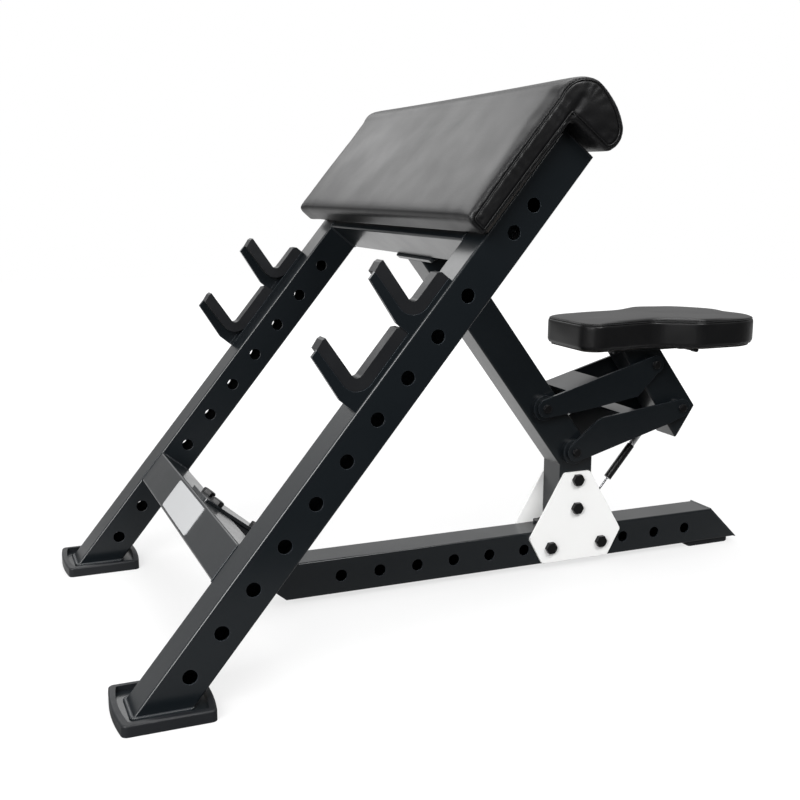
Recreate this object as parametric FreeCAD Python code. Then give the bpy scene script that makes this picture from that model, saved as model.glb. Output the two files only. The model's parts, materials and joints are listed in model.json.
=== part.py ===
"""Preacher curl bench: tube frame, rolled arm pad, double bar hooks and a seat on parallel arms.

Millimetres, Z up, floor at Z = 0. X runs along the length towards the seat, Y across.
The user sits on the seat and faces -X, so left is -Y. Each file in parts/ is one piece.
"""
import FreeCAD
import Part
import math
import os

# Driving dimensions of the frame
overall_length = 1500.0        # front of the foot pads to the tip of the rail's tail
frame_width = 844.0            # over the outer faces of the two legs
tube = 75.0                    # side of the square tube
tube_wall = 3.0
tube_corner = 4.0              # outer corner radius of the tube
hole_diameter = 25.0
hole_pitch = 84.3

# Legs, measured along the leg from its first hole
leg_angle = 50.7               # degrees to the floor
leg_first_hole_height = 64.7
leg_first_hole_setback = 120.0  # behind the front of the foot pad
leg_hole_count = 10
leg_upper_hole = 890.0         # lower one of the two holes under the arm pad
leg_upper_hole_step = 57.5
leg_top = 1076.0
leg_cap_thickness = 3.0
leg_cap_depth = 18.0
leg_cap_wall = 4.0
leg_cap_play = 0.2             # between the cap's plug and the tube

# Feet
foot_plate_thickness = 6.0
foot_plate_corner = 5.0
foot_pad_base = 4.0            # rubber under the foot plate
foot_pad_length = 147.0        # straight part, without the bow of the ends
foot_pad_width = 156.0
foot_pad_inset = 3.5           # pad's middle inwards from the leg's axis
foot_pad_wall = 11.0           # rim round the foot plate
foot_pad_bow = 7.0
foot_pad_rim = 16.0            # height of the rim above the rubber base
foot_pad_corner = 10.0
foot_pad_edge = 4.0            # rounding of the rim's outer edge

# Crossbeams and rail
lower_beam_place = 170.0       # centre of the lower crossbeam along the leg
rail_axis_height = 50.7
rail_first_hole = -242.1
rail_hole_count = 11
rail_holes_behind_gusset = (6, 7)
tail_slope = 45.0              # degrees to the floor
tail_cap_thickness = 3.0
tail_pad_length = 112.0
tail_pad_width = 62.0
tail_pad_setback = 18.0        # from the rail's tip to the pad
tail_pad_corner = 8.0
tail_pad_chamfer = 3.0
sign_length = 220.0
sign_height = 62.0
sign_thickness = 2.0
sign_corner = 6.0

# Plate over the joint between lower crossbeam and rail
joint_plate_thickness = 6.0
joint_plate_front = 30.0       # front edge, from the beam's axis
joint_plate_rear = -168.0
joint_plate_front_width = 110.0
joint_plate_rear_width = 52.0
joint_beam_bolt_offset = 36.0
joint_riser_bolts = (-110.0, -146.0)

# Seat post
post_place = 304.7             # X of the upright part's axis
post_bend_height = 245.7
post_depth = 80.0               # fore and aft; its width is the tube's
post_lean = 53.7               # degrees to the floor, above the bend
post_foot_thickness = 6.0
post_foot_reach = 26.0
post_head_thickness = 8.0
post_head_height = 86.0
post_head_width = 176.0
post_head_bolt_y = 64.0
post_head_bolt_s = 20.0

# Gusset plates beside the post's foot
gusset_thickness = 6.0
gusset_bottom = 15.6
gusset_shoulder = 74.0         # height of the widest place
gusset_top = 215.5
gusset_bottom_width = 166.0
gusset_shoulder_width = 230.0
gusset_top_width = 63.0
gusset_corner = 7.0
gusset_post_bolts = (134.2, 198.1)
gusset_rail_bolt_offset = 63.4

# Fasteners
bolt_diameter = 16.0
bolt_flats = 24.0
bolt_head_height = 10.0
washer_diameter = 18.0
washer_thickness = 1.0
small_bolt_diameter = 8.0
small_bolt_flats = 13.0
small_bolt_head = 5.5
bolt_tip = 3.0                 # thread past the nut
flange_corner = 8.0            # corner radius of bolted plates

# Parallel arms of the seat
pivot_diameter = 12.0
pivot_flats = 16.0
pivot_head_height = 6.0
pivot_fit = 0.06               # radial running clearance on the pivot bolts
pivot_first = 21.6             # lower pivot, up the post from the bend
pivot_spacing = 127.4
stem_pivot_offset = 2.2        # pivots lie this far behind the stem's axis
arm_length = 282.9
arm_rise = 16.0                # degrees, seat as photographed
arm_thickness = 6.0
arm_gap = 0.35                 # between pieces that turn against each other
arm_end_radius = 20.0
post_spacer_diameter = 54.0
stem_spacer_diameter = 36.0
spacer_thickness = 12.5
web_thickness = 5.0
arm_crest = (84.0, 51.0)       # highest point of the lower arm, along and over its centre line
upper_web_span = (58.0, 139.0)  # along the arm
lower_web_span = (130.0, 168.0)
seat_stem_top = 477.0
seat_stem_cut_left = -56.8     # lower end of the stem along its axis, on its left and right
seat_stem_cut_right = -27.1

# Gas spring
gas_lug_reach = 17.5           # lower pin from the post's rear face
gas_lug_height = 125.0
gas_top_setback = 30.1         # upper pin in front of the stem
gas_top_along = -2.4           # upper pin along the stem from the lower arm's pivot
gas_pin_diameter = 8.0
gas_eye_diameter = 17.0
gas_eye_width = 15.0
gas_open_clearance = 2.2       # radial play of the upper eye on its pin
gas_tube_diameter = 17.0
gas_tube_wall = 1.5
gas_tube_length = 92.0
gas_head_length = 58.0         # upper pin to the black tube
gas_neck_diameter = 14.0
gas_rod_diameter = 5.0
gas_rod_inside = 33.0          # rod within the tube, seat as photographed
gas_ear_thickness = 5.0
gas_ear_radius = 9.0
gas_ear_root = 15.0            # half height of an ear where it is welded on
gas_lug_plate = 4.0
gas_lug_half = 19.0
gas_guide = 8.0                # rod guide at the tube's lower end
gas_piston = 6.0
gas_collar = 2.0               # collar on the rod, wall and length past the eye

# Seat
seat_plate_front_reach = 33.0   # past the stem's top
seat_plate_rear_reach = 109.0
seat_plate_width = 110.0
seat_plate_thickness = 8.0
seat_plate_corner = 10.0
seat_bolt_margin = 15.0        # from the edges of the seat plate
seat_front = 282.0
seat_rear = 734.0
seat_nose_half = 106.0
seat_waist_half = 88.0
seat_wing_half = 142.0
seat_waist_place = 462.0
seat_wing_place = 546.0
seat_nose_corner = 43.0
seat_waist_round = 60.0
seat_wing_round = 50.0
seat_rear_corner = 100.0
seat_height = 70.0             # plate to the top of the crown
seat_crown = 9.0               # fall of the crown to the front and rear ends
seat_edge_radius = 12.0
seat_lower_edge = 4.0          # drawn-in lower edge
seat_board_thickness = 12.0
seat_board_inset = 12.0
lever_rear_inset = 40.0         # lever's pivot from the rear edge of the seat plate
lever_hub_radius = 9.0
lever_pin_head = 2.0
lever_pin_radius = 4.0
lever_tang_half = 3.0          # bar inside the knob
lever_tang_length = 11.0
lever_pivot_y = -18.0
lever_length = 60.0            # pivot to the end of the knob
lever_thickness = 5.0
lever_width = 12.0
lever_knob_diameter = 10.0
lever_knob_length = 18.0
lever_knob_edge = 2.5

# Arm pad, measured along the leg and out of its axis
pad_width = 926.0
pad_lower_end = 840.0
pad_lower_corner = 14.0
pad_thickness = 45.0           # cushion at its lower end
pad_rise = 3.0                 # more thickness where the roll begins
pad_crown = 1.0
pad_end_gap = 6.0              # between the leg's cap and the roll
pad_roll = (                   # three arcs: past the roll's inner face and below the pad's face
    (13.0, 0.0), (65.0, -12.5), (84.0, -46.0), (76.0, -90.0), (55.0, -128.0), (34.0, -142.0), (0.0, -133.0),
)
pad_board_thickness = 12.5
pad_board_inset = 20.0
pad_edge_radius = 9.0
pad_seam_inset = 10.0
seam_depth = 1.5
seam_width = 1.8
pad_bolt_offset = 250.0

# Bar hooks, measured along the leg and out of its front face
hook_to_pad = 79.0             # from the upper end of the hook's strip to the arm pad
hook_step = 155.0              # lower hook to upper hook
hook_plate = 8.0               # thickness of the hook's profile plate
hook_width = 32.0              # width of the strip on the leg
hook_inset = 3.0               # from the leg's outer face
hook_strip = 7.2               # thickness of the strip on the leg
hook_strip_length = 268.0
hook_reach = 116.0             # tip of the hook out of the leg's face
hook_heel = 35.0
hook_lean = 27.0               # outer edge's lean towards the tip
hook_tip_width = 14.5
hook_bend_start = (24.0, 50.0)
hook_bend_middle = (31.3, 16.0)
hook_bend_end = 52.5
liner_width = 28.0
liner_setback = 2.0            # liner's side behind the plate's side
liner_lift = 28.5              # liner's face above the leg's face
liner_tip = 65.0
liner_over = 2.0               # liner's tip past the plate's tip
liner_chamfer = 6.0
liner_bend_start = (44.5, 44.0)
liner_bend_middle = (46.5, 31.6)
liner_bend_end = 54.0

HALF = tube / 2
POST_HALF = post_depth / 2
LEG_OUTER = frame_width / 2
LEG_AXIS = LEG_OUTER - HALF
LEG_INNER = LEG_OUTER - tube
ANGLE = math.radians(leg_angle)
LEG_ORIGIN = FreeCAD.Vector(-overall_length / 2 + leg_first_hole_setback, 0, leg_first_hole_height)
LEG_FRAME = FreeCAD.Placement(LEG_ORIGIN, FreeCAD.Rotation(FreeCAD.Vector(0, 1, 0), -leg_angle))
SIDES = {"left": -1, "right": 1}
RAIL_TOP = rail_axis_height + HALF
RAIL_BOTTOM = rail_axis_height - HALF

parts = {}


def vec(x, y, z):
    return FreeCAD.Vector(x, y, z)


def box(x0, x1, y0, y1, z0, z1):
    return Part.makeBox(x1 - x0, y1 - y0, z1 - z0, vec(x0, y0, z0))


def cylinder(radius, start, end):
    axis = end - start
    return Part.makeCylinder(radius, axis.Length, start, axis)


def fuse(shapes):
    return shapes[0].multiFuse(shapes[1:]).removeSplitter()


def prism(points, y0, y1):
    """Solid between y0 and y1 from an outline of (x, z) points."""
    corners = [vec(x, y0, z) for x, z in points]
    face = Part.Face(Part.makePolygon(corners + corners[:1]))
    return face.extrude(vec(0, y1 - y0, 0))


def round_along(shape, direction, radius):
    """Fillets every straight edge that runs along one direction."""
    edges = []
    for edge in shape.Edges:
        run = edge.Vertexes[-1].Point - edge.Vertexes[0].Point
        if run.Length > 1e-6 and run.cross(direction).Length < 1e-6 * run.Length:
            edges.append(edge)
    return shape.makeFillet(radius, edges)


def meet(p, d, q, e):
    """Crossing of two lines in the XZ plane, each a point and a direction."""
    det = d[0] * -e[1] + e[0] * d[1]
    t = ((q[0] - p[0]) * -e[1] + e[0] * (q[1] - p[1])) / det
    return (p[0] + t * d[0], p[1] + t * d[1])


def on_leg(s, n):
    """XZ point from a place along the leg and a distance out of its axis."""
    x = LEG_ORIGIN.x + s * math.cos(ANGLE) - n * math.sin(ANGLE)
    z = LEG_ORIGIN.z + s * math.sin(ANGLE) + n * math.cos(ANGLE)
    return (x, z)


def along_leg(shape):
    """Moves a shape drawn as (along the leg, Y, out of the front) into place."""
    moved = shape.copy()
    moved.Placement = LEG_FRAME.multiply(moved.Placement)
    return moved


def hexagon(flats, start, axis, height):
    """Hexagonal prism that starts at a point and grows along an axis."""
    radius = flats / math.sqrt(3)
    corners = []
    for i in range(7):
        turn = math.radians(60 * i + 30)
        corners.append(vec(radius * math.cos(turn), radius * math.sin(turn), 0))
    solid = Part.Face(Part.makePolygon(corners)).extrude(vec(0, 0, height))
    solid.Placement = FreeCAD.Placement(start, FreeCAD.Rotation(vec(0, 0, 1), axis))
    return solid


def through_bolt(start, end, diameter, flats, head):
    """Hex bolt with its head outside start and its nut outside end."""
    axis = (end - start).normalize()
    shank = cylinder(diameter / 2, start - axis, end + axis * (head + bolt_tip))
    top = hexagon(flats, start, axis * -1, head)
    nut = hexagon(flats, end, axis, head)
    return fuse([shank, top, nut])


def straight_tube(x0, x1):
    """Square tube along X with rounded corners, open at both ends."""
    outer = round_along(box(x0, x1, -HALF, HALF, -HALF, HALF), vec(1, 0, 0), tube_corner)
    inside = HALF - tube_wall
    bore = box(x0 - 1, x1 + 1, -inside, inside, -inside, inside)
    bore = round_along(bore, vec(1, 0, 0), tube_corner - tube_wall)
    return outer.cut(bore)


def bent_tube(outline, runs):
    """Mitred square tube from its XZ outline; its long edges are rounded along the given runs."""
    outer = prism(outline, -HALF, HALF)
    for run in runs:
        outer = round_along(outer, run, tube_corner)
    return outer


def cross_holes(places, radius):
    """Pins across the tube at (x, z) places."""
    pins = []
    for x, z in places:
        pins.append(cylinder(radius, vec(x, -HALF - 1, z), vec(x, HALF + 1, z)))
    return pins


# Lines of the seat post, used by the post, the crossbeam and the arms
LEAN = math.radians(post_lean)
UP_POST = (-math.cos(LEAN), math.sin(LEAN))
BEHIND_POST = (math.sin(LEAN), math.cos(LEAN))
BEND = (post_place, post_bend_height)


def on_post(along, behind):
    """XZ point up the leaning post from its bend and behind its axis."""
    x = BEND[0] + along * UP_POST[0] + behind * BEHIND_POST[0]
    z = BEND[1] + along * UP_POST[1] + behind * BEHIND_POST[1]
    return (x, z)


BEAM_BACK_LINE = on_leg(0, -HALF)
LEG_RUN = (math.cos(ANGLE), math.sin(ANGLE))
LEG_OUT = (-math.sin(ANGLE), math.cos(ANGLE))
post_hit = meet(BEND, UP_POST, BEAM_BACK_LINE, LEG_RUN)
upper_beam_place = math.hypot(post_hit[0] - BEAM_BACK_LINE[0], post_hit[1] - BEAM_BACK_LINE[1])

# Legs with their holes, feet and caps
foot_plate_top = foot_pad_base + foot_plate_thickness
hole_places = [i * hole_pitch for i in range(leg_hole_count)]
hole_places += [leg_upper_hole, leg_upper_hole + leg_upper_hole_step]
leg_start = -leg_first_hole_height / math.sin(ANGLE) - tube
leg_body = straight_tube(leg_start, leg_top)
for pin in cross_holes([(s, 0) for s in hole_places], hole_diameter / 2):
    leg_body = leg_body.cut(pin)
leg_body = along_leg(leg_body)
below = box(-overall_length, overall_length, -tube, tube, -2 * tube, foot_plate_top)
leg_body = leg_body.cut(below)
foot_middle = -overall_length / 2 + foot_pad_bow + foot_pad_length / 2

plug_side = HALF - tube_wall - leg_cap_play
plug_inner = plug_side - leg_cap_wall
plug_end = leg_top - leg_cap_depth
cap = box(leg_top, leg_top + leg_cap_thickness, -HALF, HALF, -HALF, HALF)
cap = round_along(cap, vec(1, 0, 0), tube_corner)
plug = box(plug_end, leg_top, -plug_side, plug_side, -plug_side, plug_side)
hollow = box(plug_end - 1, leg_top, -plug_inner, plug_inner, -plug_inner, plug_inner)
leg_cap = along_leg(fuse([cap, plug.cut(hollow)]))


def foot_outline(length, width):
    """Closed outline with straight long sides and bowed ends."""
    x = length / 2
    y = width / 2
    tip = x + foot_pad_bow
    front = Part.Arc(vec(-x, -y, 0), vec(-tip, 0, 0), vec(-x, y, 0)).toShape()
    far = Part.makeLine(vec(-x, y, 0), vec(x, y, 0))
    rear = Part.Arc(vec(x, y, 0), vec(tip, 0, 0), vec(x, -y, 0)).toShape()
    near = Part.makeLine(vec(x, -y, 0), vec(-x, -y, 0))
    return Part.Face(Part.Wire([front, far, rear, near]))


foot_rim_top = foot_pad_base + foot_pad_rim
foot_block = foot_outline(foot_pad_length, foot_pad_width).extrude(vec(0, 0, foot_rim_top))
foot_block = round_along(foot_block, vec(0, 0, 1), foot_pad_corner)
rim_edges = [edge for edge in foot_block.Edges if edge.BoundBox.ZMin > foot_rim_top - 1e-6]
foot_block = foot_block.makeFillet(foot_pad_edge, rim_edges)
recess_length = foot_pad_length - 2 * foot_pad_wall
recess_width = foot_pad_width - 2 * foot_pad_wall
recess = foot_outline(recess_length, recess_width).extrude(vec(0, 0, foot_rim_top))
recess = round_along(recess, vec(0, 0, 1), foot_plate_corner).translated(vec(0, 0, foot_pad_base))
foot_pad = foot_block.cut(recess)
foot_slice = box(-tube * 2, tube * 2, -tube * 2, tube * 2, 0, foot_plate_top)
foot_plate = recess.common(foot_slice)

for side, sign in SIDES.items():
    parts[side + "_leg"] = leg_body.translated(vec(0, sign * LEG_AXIS, 0))
    parts[side + "_leg_cap"] = leg_cap.translated(vec(0, sign * LEG_AXIS, 0))
    foot_place = vec(foot_middle, sign * (LEG_AXIS - foot_pad_inset), 0)
    parts[side + "_foot_plate"] = foot_plate.translated(foot_place)
    parts[side + "_foot_pad"] = foot_pad.translated(foot_place)

# Crossbeams between the legs
beam = straight_tube(-LEG_INNER, LEG_INNER)
beam.rotate(vec(0, 0, 0), vec(0, 0, 1), 90)
lower_beam = beam.translated(vec(lower_beam_place, 0, 0))
upper_beam = beam.translated(vec(upper_beam_place, 0, 0))

# Base rail: its front end is mitred into a riser that meets the lower crossbeam
riser_low = on_leg(lower_beam_place - HALF, -HALF)
riser_high = on_leg(lower_beam_place + HALF, -HALF)
LEVEL = (1.0, 0.0)
TAIL = math.radians(tail_slope)
TAIL_RUN = (-math.cos(TAIL), math.sin(TAIL))
tail_tip = (overall_length / 2 - tail_cap_thickness / math.sin(TAIL), RAIL_BOTTOM)
rail_outline = [
    riser_low,
    meet(riser_low, LEG_OUT, (0, RAIL_BOTTOM), LEVEL),
    tail_tip,
    meet(tail_tip, TAIL_RUN, (0, RAIL_TOP), LEVEL),
    meet(riser_high, LEG_OUT, (0, RAIL_TOP), LEVEL),
    riser_high,
]
bore_low = on_leg(lower_beam_place - HALF + tube_wall, -HALF + 1)
bore_high = on_leg(lower_beam_place + HALF - tube_wall, -HALF + 1)
bore_tip = (tail_tip[0] + tube, RAIL_BOTTOM + tube_wall)
rail_bore = [
    bore_low,
    meet(bore_low, LEG_OUT, (0, RAIL_BOTTOM + tube_wall), LEVEL),
    bore_tip,
    (bore_tip[0], RAIL_TOP - tube_wall),
    meet(bore_high, LEG_OUT, (0, RAIL_TOP - tube_wall), LEVEL),
    bore_high,
]
rail = bent_tube(rail_outline, [vec(1, 0, 0), vec(LEG_OUT[0], 0, LEG_OUT[1])])
rail = rail.cut(prism(rail_bore, tube_wall - HALF, HALF - tube_wall))
rail_places = []
for i in range(rail_hole_count):
    if i not in rail_holes_behind_gusset:
        rail_places.append((rail_first_hole + i * hole_pitch, rail_axis_height))
for pin in cross_holes(rail_places, hole_diameter / 2):
    rail = rail.cut(pin)

tail_out = (math.sin(TAIL) * tail_cap_thickness, math.cos(TAIL) * tail_cap_thickness)
tail_high = meet(tail_tip, TAIL_RUN, (0, RAIL_TOP), LEVEL)
tail_cap_outline = [
    tail_tip,
    (tail_tip[0] + tail_cap_thickness / math.sin(TAIL), RAIL_BOTTOM),
    (tail_high[0] + tail_out[0], tail_high[1] + tail_out[1]),
    tail_high,
]
parts["tail_cap"] = prism(tail_cap_outline, -HALF, HALF)

tail_pad_rear = overall_length / 2 - tail_pad_setback
tail_pad_front = tail_pad_rear - tail_pad_length
tail_pad_half = tail_pad_width / 2
tail_pad = box(tail_pad_front, tail_pad_rear, -tail_pad_half, tail_pad_half, 0, RAIL_BOTTOM)
tail_pad = round_along(tail_pad, vec(0, 0, 1), tail_pad_corner)
tail_edges = [edge for edge in tail_pad.Edges if edge.BoundBox.ZMax < 1e-6]
parts["tail_pad"] = tail_pad.makeChamfer(tail_pad_chamfer, tail_edges)

# Sign plate on the lower crossbeam, left bare
sign_low = lower_beam_place - sign_height / 2
sign = box(sign_low, sign_low + sign_height, -sign_length / 2, sign_length / 2, HALF, HALF + sign_thickness)
parts["sign_plate"] = along_leg(round_along(sign, vec(0, 0, 1), sign_corner))

# Joint plate over the lower crossbeam and the riser, with its bolts
front = joint_plate_front
rear = joint_plate_rear
wide = joint_plate_front_width / 2
narrow = joint_plate_rear_width / 2
joint_top = lower_beam_place + HALF
joint_corners = [(front, -wide), (front, wide), (rear, narrow), (rear, -narrow), (front, -wide)]
joint_face = Part.Face(Part.makePolygon([vec(joint_top, y, n) for n, y in joint_corners]))
joint_plate = joint_face.extrude(vec(joint_plate_thickness, 0, 0))
joint_plate = round_along(joint_plate, vec(1, 0, 0), flange_corner)
joint_holes = [(0, -joint_beam_bolt_offset), (0, joint_beam_bolt_offset)]
joint_holes += [(n, 0) for n in joint_riser_bolts]
joint_bolts = []
for n, y in joint_holes:
    start = vec(joint_top + joint_plate_thickness, y, n)
    end = vec(joint_top - tube_wall, y, n)
    shank = cylinder(bolt_diameter / 2, start + vec(1, 0, 0), end - vec(1, 0, 0))
    joint_plate = joint_plate.cut(shank)
    lower_beam = lower_beam.cut(shank)
    rail = rail.cut(along_leg(shank))
    joint_bolts.append(through_bolt(start, end, bolt_diameter, bolt_flats, bolt_head_height))
parts["joint_plate"] = along_leg(joint_plate)
parts["joint_bolts"] = along_leg(Part.makeCompound(joint_bolts))
parts["lower_crossbeam"] = along_leg(lower_beam)

# Seat post: upright on the rail, bent forward and cut to the flange on the upper crossbeam
post_bottom = RAIL_TOP + post_foot_thickness
UPRIGHT = (0.0, 1.0)
head_line = on_leg(0, -HALF - post_head_thickness)
rear_low = (post_place + POST_HALF, post_bottom)
front_low = (post_place - POST_HALF, post_bottom)
post_outline = [
    front_low,
    rear_low,
    meet(rear_low, UPRIGHT, on_post(0, POST_HALF), UP_POST),
    meet(on_post(0, POST_HALF), UP_POST, head_line, LEG_RUN),
    meet(on_post(0, -POST_HALF), UP_POST, head_line, LEG_RUN),
    meet(front_low, UPRIGHT, on_post(0, -POST_HALF), UP_POST),
]
inner = POST_HALF - tube_wall
inner_side = HALF - tube_wall
bore_line = on_leg(0, -HALF - post_head_thickness + 1)
bore_rear = (post_place + inner, post_bottom - 1)
bore_front = (post_place - inner, post_bottom - 1)
post_bore = [
    bore_front,
    bore_rear,
    meet(bore_rear, UPRIGHT, on_post(0, inner), UP_POST),
    meet(on_post(0, inner), UP_POST, bore_line, LEG_RUN),
    meet(on_post(0, -inner), UP_POST, bore_line, LEG_RUN),
    meet(bore_front, UPRIGHT, on_post(0, -inner), UP_POST),
]
post = bent_tube(post_outline, [vec(0, 0, 1), vec(UP_POST[0], 0, UP_POST[1])])
post = post.cut(prism(post_bore, -inner_side, inner_side))

# Foot flange of the post, bolted to the rail's upper wall
foot_front = post_place - POST_HALF - post_foot_reach
foot_rear = post_place + POST_HALF + post_foot_reach
post_foot = box(foot_front, foot_rear, -HALF, HALF, RAIL_TOP, post_bottom)
post_foot = round_along(post_foot, vec(0, 0, 1), flange_corner)
foot_bolts = []
for x in (foot_front + post_foot_reach / 2, foot_rear - post_foot_reach / 2):
    for y in (-HALF / 2, HALF / 2):
        start = vec(x, y, post_bottom)
        end = vec(x, y, RAIL_TOP - tube_wall)
        shank = cylinder(small_bolt_diameter / 2, start + vec(0, 0, 1), end - vec(0, 0, 1))
        post_foot = post_foot.cut(shank)
        rail = rail.cut(shank)
        foot_bolts.append(through_bolt(start, end, small_bolt_diameter, small_bolt_flats, small_bolt_head))
parts["post_foot"] = post_foot
parts["post_foot_bolts"] = Part.makeCompound(foot_bolts)

# Head flange of the post, bolted to the rear wall of the upper crossbeam
head_low = upper_beam_place - post_head_height / 2
head_half = post_head_width / 2
head_rear = -HALF - post_head_thickness
post_head = box(head_low, head_low + post_head_height, -head_half, head_half, head_rear, -HALF)
post_head = round_along(post_head, vec(0, 0, 1), flange_corner)
head_bolts = []
for y in (-post_head_bolt_y, post_head_bolt_y):
    for s in (-post_head_bolt_s, post_head_bolt_s):
        start = vec(upper_beam_place + s, y, head_rear)
        end = vec(upper_beam_place + s, y, -HALF + tube_wall)
        shank = cylinder(bolt_diameter / 2, start - vec(0, 0, 1), end + vec(0, 0, 1))
        post_head = post_head.cut(shank)
        upper_beam = upper_beam.cut(shank)
        head_bolts.append(through_bolt(start, end, bolt_diameter, bolt_flats, bolt_head_height))
parts["post_head"] = along_leg(post_head)
parts["post_head_bolts"] = along_leg(Part.makeCompound(head_bolts))

# Gusset plates on both sides of the post's foot, with through bolts
gusset_outline = [
    (post_place - gusset_bottom_width / 2, gusset_bottom),
    (post_place + gusset_bottom_width / 2, gusset_bottom),
    (post_place + gusset_shoulder_width / 2, gusset_shoulder),
    (post_place + gusset_top_width / 2, gusset_top),
    (post_place - gusset_top_width / 2, gusset_top),
    (post_place - gusset_shoulder_width / 2, gusset_shoulder),
]
gusset = round_along(prism(gusset_outline, HALF, HALF + gusset_thickness), vec(0, 1, 0), gusset_corner)
gusset_places = [(post_place, z) for z in gusset_post_bolts]
gusset_places.append((post_place - gusset_rail_bolt_offset, rail_axis_height))
gusset_places.append((post_place + gusset_rail_bolt_offset, rail_axis_height))
gusset_bolts = []
for x, z in gusset_places:
    reach = HALF + gusset_thickness
    start = vec(x, -reach, z)
    end = vec(x, reach, z)
    shank = cylinder(bolt_diameter / 2, start, end)
    gusset = gusset.cut(shank)
    rail = rail.cut(shank)
    post = post.cut(shank)
    gusset_bolts.append(through_bolt(start, end, bolt_diameter, bolt_flats, bolt_head_height))
parts["right_gusset"] = gusset
parts["left_gusset"] = gusset.mirror(vec(0, 0, 0), vec(0, 1, 0))
parts["gusset_bolts"] = Part.makeCompound(gusset_bolts)
parts["base_rail"] = rail

# Parallel arms: pivots of the post and of the seat stem
RISE = math.radians(arm_rise)
ARM = (arm_length * math.cos(RISE), arm_length * math.sin(RISE))
post_low = on_post(pivot_first, 0)
post_high = on_post(pivot_first + pivot_spacing, 0)
stem_low = (post_low[0] + ARM[0], post_low[1] + ARM[1])
stem_high = (post_high[0] + ARM[0], post_high[1] + ARM[1])
pivot_radius = pivot_diameter / 2
arm_inner = HALF + spacer_thickness + arm_gap
arm_outer = arm_inner + arm_thickness


def arm_point(pivot, along, over):
    """XZ point along an arm from its post pivot and over its centre line."""
    x = pivot[0] + along * math.cos(RISE) - over * math.sin(RISE)
    z = pivot[1] + along * math.sin(RISE) + over * math.cos(RISE)
    return (x, z)


def arm_plates(pivot, outline, web):
    """Two plates and the web between them, with pivot holes at both ends."""
    points = [arm_point(pivot, along, over) for along, over in outline]
    tip = arm_point(pivot, arm_length, 0)
    solid = prism(points, arm_inner, arm_outer)
    for x, z in (pivot, tip):
        solid = solid.fuse(cylinder(arm_end_radius, vec(x, arm_inner, z), vec(x, arm_outer, z)))
    solid = solid.removeSplitter()
    for x, z in (pivot, tip):
        hole = cylinder(pivot_radius + pivot_fit, vec(x, arm_inner - 1, z), vec(x, arm_outer + 1, z))
        solid = solid.cut(hole)
    bridge = prism([arm_point(pivot, along, over) for along, over in web], -arm_inner, arm_inner)
    return fuse([solid, solid.mirror(vec(0, 0, 0), vec(0, 1, 0)), bridge])


upper_outline = [
    (0, arm_end_radius), (arm_length, arm_end_radius), (arm_length, -arm_end_radius),
    (222, -53), (122, -41), (50, -29.5), (0, -arm_end_radius),
]
lower_outline = [
    (-9, 18), (68, 49), arm_crest, (arm_length, arm_end_radius), (arm_length, -arm_end_radius),
    (239, -23), (38, -22), (0, -arm_end_radius),
]


def web_outline(edge_start, edge_end, start, end):
    """Web just under the straight upper edge of an arm, from start to end along it."""
    slope = (edge_end[1] - edge_start[1]) / (edge_end[0] - edge_start[0])
    first = edge_start[1] + slope * (start - edge_start[0])
    last = edge_start[1] + slope * (end - edge_start[0])
    return [(start, first), (end, last), (end, last - web_thickness), (start, first - web_thickness)]


upper_web = web_outline(upper_outline[0], upper_outline[1], *upper_web_span)
lower_web = web_outline(arm_crest, lower_outline[3], *lower_web_span)
parts["upper_arm"] = arm_plates(post_high, upper_outline, upper_web)
parts["lower_arm"] = arm_plates(post_low, lower_outline, lower_web)


def pivot_bolt(place):
    """Pivot bolt across both arm plates, with washers, a head and a nut."""
    x, z = place
    seat = arm_outer + arm_gap
    shank = cylinder(pivot_radius, vec(x, -seat - 1, z), vec(x, seat + pivot_head_height + bolt_tip, z))
    face = seat + washer_thickness
    washers = []
    for sign in (-1, 1):
        washers.append(cylinder(washer_diameter / 2, vec(x, sign * seat, z), vec(x, sign * face, z)))
    head = hexagon(pivot_flats, vec(x, -face, z), vec(0, -1, 0), pivot_head_height)
    nut = hexagon(pivot_flats, vec(x, face, z), vec(0, 1, 0), pivot_head_height)
    return fuse([shank, head, nut] + washers)


def spacer_pair(place, diameter):
    """Discs between the tube's side faces and the arm plates."""
    x, z = place
    face = HALF + spacer_thickness
    discs = []
    for sign in (-1, 1):
        disc = cylinder(diameter / 2, vec(x, sign * HALF, z), vec(x, sign * face, z))
        discs.append(disc.cut(cylinder(pivot_radius, vec(x, -arm_outer, z), vec(x, arm_outer, z))))
    return discs


for x, z in (post_low, post_high):
    post = post.cut(cylinder(pivot_radius, vec(x, -tube, z), vec(x, tube, z)))
parts["seat_post"] = post
parts["post_pivot_lower"] = pivot_bolt(post_low)
parts["post_pivot_upper"] = pivot_bolt(post_high)
parts["stem_pivot_lower"] = pivot_bolt(stem_low)
parts["stem_pivot_upper"] = pivot_bolt(stem_high)
post_discs = spacer_pair(post_low, post_spacer_diameter) + spacer_pair(post_high, post_spacer_diameter)
stem_discs = spacer_pair(stem_low, stem_spacer_diameter) + spacer_pair(stem_high, stem_spacer_diameter)
parts["post_spacers"] = Part.makeCompound(post_discs)
parts["stem_spacers"] = Part.makeCompound(stem_discs)


def on_stem(along, behind):
    """XZ point up the seat stem from the lower arm's pivot and behind the stem's axis."""
    shift = behind - stem_pivot_offset
    x = stem_low[0] + along * UP_POST[0] + shift * BEHIND_POST[0]
    z = stem_low[1] + along * UP_POST[1] + shift * BEHIND_POST[1]
    return (x, z)


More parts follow.
